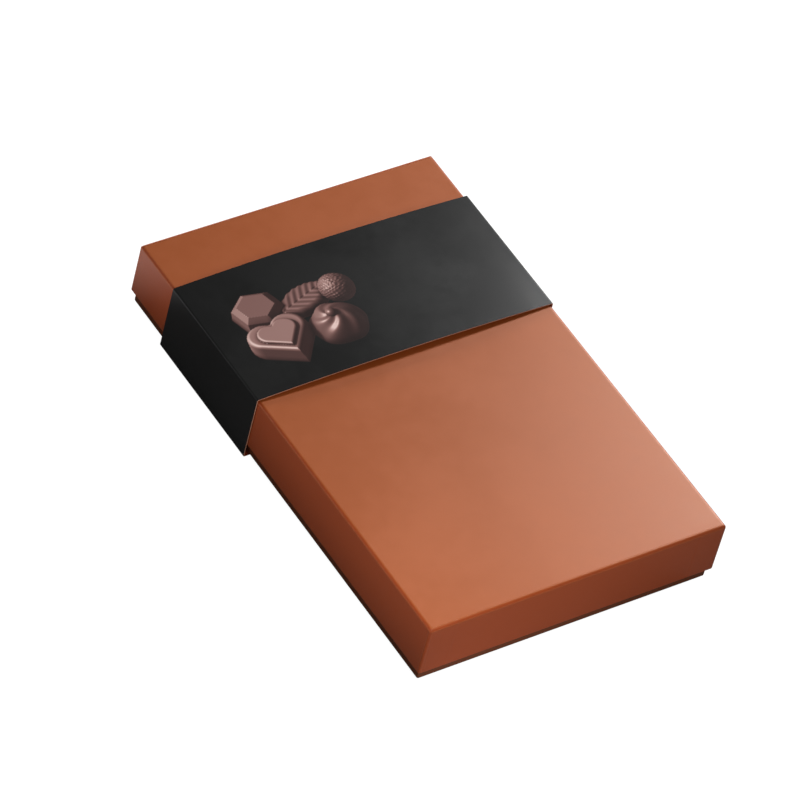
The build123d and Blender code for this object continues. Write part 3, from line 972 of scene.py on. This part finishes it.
def softened(corners, bevel, longest, steps=4, most=0.45):
    # A run of (radius, height) corners, each rounded over the bevel's length or at most this
    # share of its runs, and long runs divided.
    corners = [np.array(corner, float) for corner in corners]
    run = [corners[0]]
    for before, here, after in zip(corners, corners[1:], corners[2:]):
        start, end = (
            here + (other - here) * min(bevel / np.linalg.norm(other - here), most)
            for other in (before, after)
        )
        for step in range(steps + 1):
            t = step / steps
            run.append(start * (1 - t) ** 2 + here * 2 * t * (1 - t) + end * t * t)
    run.append(corners[-1])
    fine = [run[0]]
    for point in run[1:]:
        last = fine[-1]
        parts = max(1, math.ceil(np.linalg.norm(point - last) / longest))
        fine += [last + (point - last) * (part + 1) / parts for part in range(parts)]
    return fine


def turnedForm(name, profile, turns, outline, relief=None, middle=(0.0, 0.0), floor=0.0):
    # Rings round an upright line: the profile gives radius and height, the outline scales a ring.
    angle = np.arange(turns) * 2 * math.pi / turns
    rings = []
    for radius, height in profile:
        reach = radius * outline(angle, radius, height)
        x, y = reach * np.cos(angle), reach * np.sin(angle)
        lift = relief(x, y, height) if relief else 0.0
        rings.append(np.stack([x + middle[0], y + middle[1], floor + height + lift + 0 * x], 1))
    under = [(*middle, rings[0][0, 2])]
    over = [(*middle, rings[-1][:, 2].mean())]
    points = np.vstack([under, *rings, over])
    last = len(points) - 1
    faces = [(0, 1 + (i + 1) % turns, 1 + i) for i in range(turns)]
    for ring in range(len(rings) - 1):
        faces += bridge(turns, 1 + ring * turns, 1 + (ring + 1) * turns)
    faces += [(last, last - turns + i, last - turns + (i + 1) % turns) for i in range(turns)]
    return buildObject(name, points, faces, [])


def smooth(value, low, high):
    share = np.clip((value - low) / (high - low), 0, 1)
    return share * share * (3 - 2 * share)


# The fluted paper cups, in millimetres: the wall is (radius, height) from the foot up, over and in.
pleatLook = dict(
    pleats=36, depth=0.05, lean=0.03, foot=14.0, opening=(0.6, 3.0), floor=2.2, turns=180,
    bevel=0.14, longest=5.6, bevelSteps=2, seed=11,
    wall=((14.55, 0.0), (15.02, 0.4), (17.42, 16.5), (17.12, 16.5), (14.72, 0.62), (14.3, 0.3),
          (0.4, 0.3)),
)


def pleatedWall(angle, radius, height):
    # The folds open from the floor's edge and lean a little, as a pressed paper cup's do.
    look = pleatLook
    fold = np.cos(look["pleats"] * angle + look["lean"] * height)
    depth = look["depth"] * smooth(height + (radius - look["foot"]), *look["opening"])
    return 1 - depth * (0.5 - 0.5 * fold)


def makeCup(look):
    profile = softened(look["wall"], look["bevel"], look["longest"], look["bevelSteps"])
    return turnedForm("cupForm", profile, look["turns"], pleatedWall, floor=look["floor"])


cupForm = makeCup(pleatLook)
cupNodes = [f"cup_{index}" for index in range(1, 25)]
fillCells(
    "paperCups", cupForm, cupPaper, cupNodes, "cup_paper", Turn=math.pi, Seed=pleatLook["seed"]
)


# Six kinds of moulded sweets, in millimetres. A relief grows or fades between two heights.
sweetLook = dict(floor=2.5, turns=120, bevel=0.5, longest=0.7, turn=3.0, seed=20)
domeLook = dict(flutes=12, lean=0.28, depth=0.045, grows=(2.0, 4.5), fades=(13.2, 14.2))
squareLook = dict(
    sharpness=8, ribPitch=5.0, ribHeight=1.2, ribEdge=(0.2, 1.7), border=(6.3, 7.0),
    grows=(14.0, 14.7),
)
heartLook = dict(blunt=0.05, bluntWidth=0.14)
gemLook = dict(sharpness=60)
barLook = dict(
    reach=13.45, halfLength=11.5, halfWidth=6.97, sharpness=9, waves=4, wavedLength=23.06,
    waveDepth=1.2, grows=(9.0, 15.4),
)
coneLook = dict(flutes=9, softness=0.7, depth=0.14, fades=(14.3, 15.0))


def roundedPolygon(angle, sides, sharpness):
    corners = [2 * math.pi * side / sides for side in range(sides)]
    facing = [np.maximum(np.cos(angle - corner), 0) ** sharpness for corner in corners]
    return sum(facing) ** (-1 / sharpness)


def domeOutline(angle, radius, height):
    swirl = 0.5 + 0.5 * np.cos(domeLook["flutes"] * angle + domeLook["lean"] * height)
    depth = domeLook["depth"] * swirl * smooth(height, *domeLook["grows"])
    return 1 - depth * (1 - smooth(height, *domeLook["fades"]))


def squareOutline(angle, radius, height):
    return roundedPolygon(angle, 4, squareLook["sharpness"])


def squareRibs(x, y, height):
    pitch = squareLook["ribPitch"]
    near = np.abs(x - pitch * np.clip(np.round(x / pitch), -1, 1))
    inside = 1 - smooth(np.maximum(np.abs(x), np.abs(y)), *squareLook["border"])
    rib = squareLook["ribHeight"] * (1 - smooth(near, *squareLook["ribEdge"]))
    return rib * inside * smooth(height, *squareLook["grows"])


def heartOutline(angle, radius, height):
    # Two round lobes over a square that stands on its corner, which is blunted a little.
    turns = (angle - math.pi / 4, angle - 3 * math.pi / 4)
    lobes = np.maximum(*(np.cos(turn) for turn in turns)) * 2
    square = 1 / np.maximum(np.abs(np.cos(turns[0])), np.abs(np.sin(turns[0])))
    off = np.abs(np.mod(angle + math.pi / 2 + math.pi, 2 * math.pi) - math.pi)
    blunt = heartLook["blunt"] * np.exp(-(off / heartLook["bluntWidth"]) ** 2)
    return np.maximum(lobes, square) * (1 - blunt)


def gemOutline(angle, radius, height):
    return roundedPolygon(angle - math.pi / 6, 6, gemLook["sharpness"])


def barOutline(angle, radius, height):
    power = barLook["sharpness"]
    along = (np.abs(np.cos(angle)) / barLook["halfLength"]) ** power
    across = (np.abs(np.sin(angle)) / barLook["halfWidth"]) ** power
    return (along + across) ** (-1 / power) / barLook["reach"]


def barWaves(x, y, height):
    wave = 1 + np.cos(2 * math.pi * (x / barLook["wavedLength"] + 0.5) * barLook["waves"])
    return -barLook["waveDepth"] * wave * smooth(height, *barLook["grows"])


def coneOutline(angle, radius, height):
    lobes = (0.5 - 0.5 * np.cos(coneLook["flutes"] * angle)) ** coneLook["softness"]
    return 1 - coneLook["depth"] * lobes * (1 - smooth(height, *coneLook["fades"]))


centre = (0.0, 0.0)
dark = (darkChocolate, "dark_chocolate")
milk = (milkChocolate, "milk_chocolate")
sweetKinds = (
    # name, node, material and slot, outline, relief, middle, profile
    ("swirledDomes", "dome_pralines", dark, domeOutline, None, centre,
     ((12.9, 0.0), (13.45, 0.5), (13.45, 2.5), (13.0, 5.6), (11.7, 8.5), (9.5, 11.2), (6.7, 13.2),
      (3.3, 14.3), (3.1, 15.2), (2.3, 15.9), (0.3, 16.0))),
    ("ribbedSquares", "ribbed_square_pralines", dark, squareOutline, squareRibs, centre,
     ((9.7, 0.0), (10.1, 0.5), (7.75, 14.8), (0.3, 14.8))),
    ("raisedHearts", "heart_pralines", milk, heartOutline, None, (0.0, -2.55),
     ((7.0, 0.0), (7.27, 0.5), (7.0, 13.5), (5.15, 13.5), (4.95, 16.0), (0.3, 16.0))),
    ("cutGems", "faceted_pralines", milk, gemOutline, None, centre,
     ((11.3, 0.0), (11.66, 0.4), (10.95, 7.2), (8.15, 12.8), (4.9, 16.0), (0.3, 16.0))),
    ("wavyBars", "wavy_bar_pralines", milk, barOutline, barWaves, centre,
     ((12.9, 0.0), (13.45, 0.5), (13.2, 15.7), (12.6, 16.0), (0.3, 16.0))),
    ("flutedCones", "fluted_cone_pralines", dark, coneOutline, None, centre,
     ((12.9, 0.0), (13.45, 0.5), (9.7, 14.4), (7.8, 14.5), (7.2, 15.8), (0.3, 16.0))),
)
for kind, (name, node, finish, outline, relief, middle, corners) in enumerate(sweetKinds):
    profile = softened(corners, sweetLook["bevel"], sweetLook["longest"])
    form = turnedForm(
        name + "Form", profile, sweetLook["turns"], outline, relief, middle, sweetLook["floor"]
    )
    fillCells(
        name, form, finish[0], [node], finish[1], Kind=kind, Kinds=len(sweetKinds),
        Turn=math.radians(sweetLook["turn"]), Seed=sweetLook["seed"] + kind,
    )


waveLook = dict(waves=18, steps=14, paper=0.3)  # the corrugated pad


def closedSheet(over, under, half):
    # A sheet along y between two lines of (y, z) points, as wide as twice half.
    count = len(over)
    points = [(side * half, y, z) for line in (over, under) for side in (-1, 1) for y, z in line]
    runs = [range(start, start + count) for start in range(0, 4 * count, count)]
    faces = []
    for a, b, c, d in [*zip(*runs)][:-1]:
        faces += [(a, b, b + 1, a + 1), (c, c + 1, d + 1, d)]
        faces += [(a, a + 1, c + 1, c), (b, d, d + 1, b + 1)]
    (a, b, c, d), (e, f, g, h) = [*zip(*runs)][0], [*zip(*runs)][-1]
    return points, [*faces, (a, c, d, b), (e, f, h, g)]


def makePad(look):
    low, high = boxInMm("candy_pad")
    paper, top = look["paper"], high[2] - look["paper"]
    along = np.linspace(low[1], high[1], look["waves"] * look["steps"] + 1)
    wave = 0.5 - 0.5 * np.cos(np.linspace(0, 2 * math.pi * look["waves"], len(along)))
    under = low[2] + (top - paper - low[2]) * wave
    points, faces = closedSheet([*zip(along, under + paper)], [*zip(along, under)], high[0])
    flat = top + 0 * along
    cover, coverFaces = closedSheet([*zip(along, flat + paper)], [*zip(along, flat)], high[0])
    faces += [tuple(index + len(points) for index in face) for face in coverFaces]
    return buildObject("wavyPad", points + cover, faces, [padPaper])


wavyPad = makePad(waveLook)
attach(wavyPad, "base")
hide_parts("candy_pad")
print("stage: pad made,", len(wavyPad.data.polygons), "faces")


# Boards, linings and dividers keep their shapes from the frame.
keptLook = dict(
    lid_board=greyboard, base_board=greyboard, lid_liner=liningPaper, base_liner=liningPaper
)
for nodeName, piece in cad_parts.items():
    material = dividerCard if "divider" in nodeName else keptLook.get(nodeName)
    if material:
        piece.data.materials.clear()
        piece.data.materials.append(material)
print("stage: frame pieces finished")


# Floor, walls, lights and camera, in metres. A reach says where on the floor something starts and
# where it is whole: the lift that mirrored rays see, the painted glow behind, the painted light on
# matt faces.
studioLook = dict(
    floorTone=0.20, floorLift=0.97, floorSize=9.0, floorLevel=-0.0001, shadeReach=(0.14, 0.9),
    glowAlong=(-0.45, 0.89, 0.0), glowReach=(0.136, 0.172), glow=1.05,
    leftReach=(-0.097, -0.150), leftLit=1.30, frontReach=(-0.116, -0.120), frontWidth=(-0.12, 0.12),
    frontLit=(1.50, 0.25), cornerReach=(-0.090, -0.070),
    ambient=0.15, ceiling=0.10, horizon=(0.02, 0.22),
    lights=(
        # name, place, aim, width, height, power
        ("sidePanel", (0.661, 0.319, 0.516), (0.03, -0.02, 0.03), 0.174, 0.12, 5.85),
        ("backPanel", (-0.099, 1.80, 0.60), (0.0, 0.0, 0.03), 0.50, 0.50, 18.0),
        ("frontPanel", (-0.088, -0.175, 0.19), (-0.04, -0.09, 0.02), 0.12, 0.12, 0.25),
    ),
)


def seenStrength(tree, reflected):
    # 1 for the camera's own rays; mirrored and refracted rays get the share given as reflected.
    path = tree.nodes.new("ShaderNodeLightPath").outputs
    bounced = calc(tree, "MAXIMUM", path["Is Glossy Ray"], path["Is Transmission Ray"])
    return calc(tree, "MAXIMUM", path["Is Camera Ray"], times(tree, bounced, reflected))


def makeFloor(look):
    material = bpy.data.materials.new("paleFloor")
    material.use_nodes = True
    tree = material.node_tree
    tree.nodes.clear()
    base = addNode(tree, "ShaderNodeBsdfDiffuse", {"Color": grey(look["floorTone"])})
    place = tree.nodes.new("ShaderNodeTexCoord").outputs["Object"]
    x, y, z = separate(tree, place)
    # Painted shadow: mirrored rays see no lift close to the box, where the real floor lies in its
    # shade, except for a painted glow at its back left.
    away = addNode(tree, "ShaderNodeVectorMath", {0: place}, operation="LENGTH").outputs["Value"]
    feeds = {0: place, 1: look["glowAlong"]}
    behind = addNode(tree, "ShaderNodeVectorMath", feeds, operation="DOT_PRODUCT").outputs["Value"]
    beyond = ramp(tree, away, *look["shadeReach"])
    backGlow = ramp(tree, behind, *look["glowReach"], 0.0, look["glow"])
    reflected = calc(tree, "MAXIMUM", beyond, backGlow)
    # Painted light: matt faces see the floor glow in front of the box, and on its left only beyond
    # a painted shade.
    leftward = ramp(tree, x, *look["leftReach"], 0.0, look["leftLit"])
    inFront = ramp(tree, y, *look["frontReach"])
    for span in (look["cornerReach"], (*look["frontWidth"], *look["frontLit"])):
        inFront = times(tree, inFront, ramp(tree, x, *span))
    scattered = tree.nodes.new("ShaderNodeLightPath").outputs["Is Diffuse Ray"]
    lit = times(tree, scattered, calc(tree, "MAXIMUM", leftward, inFront))
    seen = calc(tree, "MAXIMUM", seenStrength(tree, reflected), lit)
    strength = times(tree, seen, look["floorLift"])
    glow = addNode(tree, "ShaderNodeEmission", {"Color": grey(1.0), "Strength": strength})
    both = addNode(tree, "ShaderNodeAddShader", {0: base.outputs[0], 1: glow.outputs[0]})
    addNode(tree, "ShaderNodeOutputMaterial", {"Surface": both.outputs[0]})
    half = look["floorSize"] / 2
    corners = [(-half, -half), (half, -half), (half, half), (-half, half)]
    mesh = bpy.data.meshes.new("paleFloor")
    mesh.from_pydata([(*corner, look["floorLevel"]) for corner in corners], [], [(0, 1, 2, 3)])
    mesh.materials.append(material)
    floor = putInScene("paleFloor", mesh)


def makeWorld(look):
    world = bpy.data.worlds.new("studio")
    world.use_nodes = True
    tree = world.node_tree
    tree.nodes.clear()
    # Mirrored rays see pale walls round the horizon and a dim ceiling.
    direction = separate(tree, tree.nodes.new("ShaderNodeTexCoord").outputs["Generated"])
    walls = ramp(tree, direction[2], *look["horizon"], 1.0, look["ceiling"])
    strength = ramp(tree, seenStrength(tree, walls), 0.0, 1.0, look["ambient"], 1.0)
    glow = addNode(tree, "ShaderNodeBackground", {"Color": grey(1.0), "Strength": strength})
    addNode(tree, "ShaderNodeOutputWorld", {"Surface": glow.outputs[0]})
    bpy.context.scene.world = world


def aimAt(thing, place, target):
    thing.location = place
    thing.rotation_euler = (Vector(target) - Vector(place)).to_track_quat("-Z", "Y").to_euler()


def makeLights(look):
    for name, place, target, width, height, power in look["lights"]:
        lamp = bpy.data.lights.new(name, "AREA")
        lamp.shape = "RECTANGLE"
        lamp.size, lamp.size_y, lamp.energy = width, height, power
        made = putInScene(name, lamp)
        made.visible_camera = False
        aimAt(made, place, target)


cameraLook = dict(
    place=(-1.28472, -1.33209, 1.89444), turn=(43.5442, -10.9488, -32.3238), lens=279.36,
    sensor=36.0, farthest=50.0,
)


def makeCamera(look):
    eye = bpy.data.cameras.new("camera")
    eye.lens, eye.sensor_width, eye.clip_end = look["lens"], look["sensor"], look["farthest"]
    made = putInScene("camera", eye)
    made.location = look["place"]
    made.rotation_euler = [math.radians(angle) for angle in look["turn"]]
    bpy.context.scene.camera = made


makeFloor(studioLook)
makeWorld(studioLook)
makeLights(studioLook)
makeCamera(cameraLook)
bpy.context.scene.view_settings.view_transform = "Standard"
print("stage: studio ready")
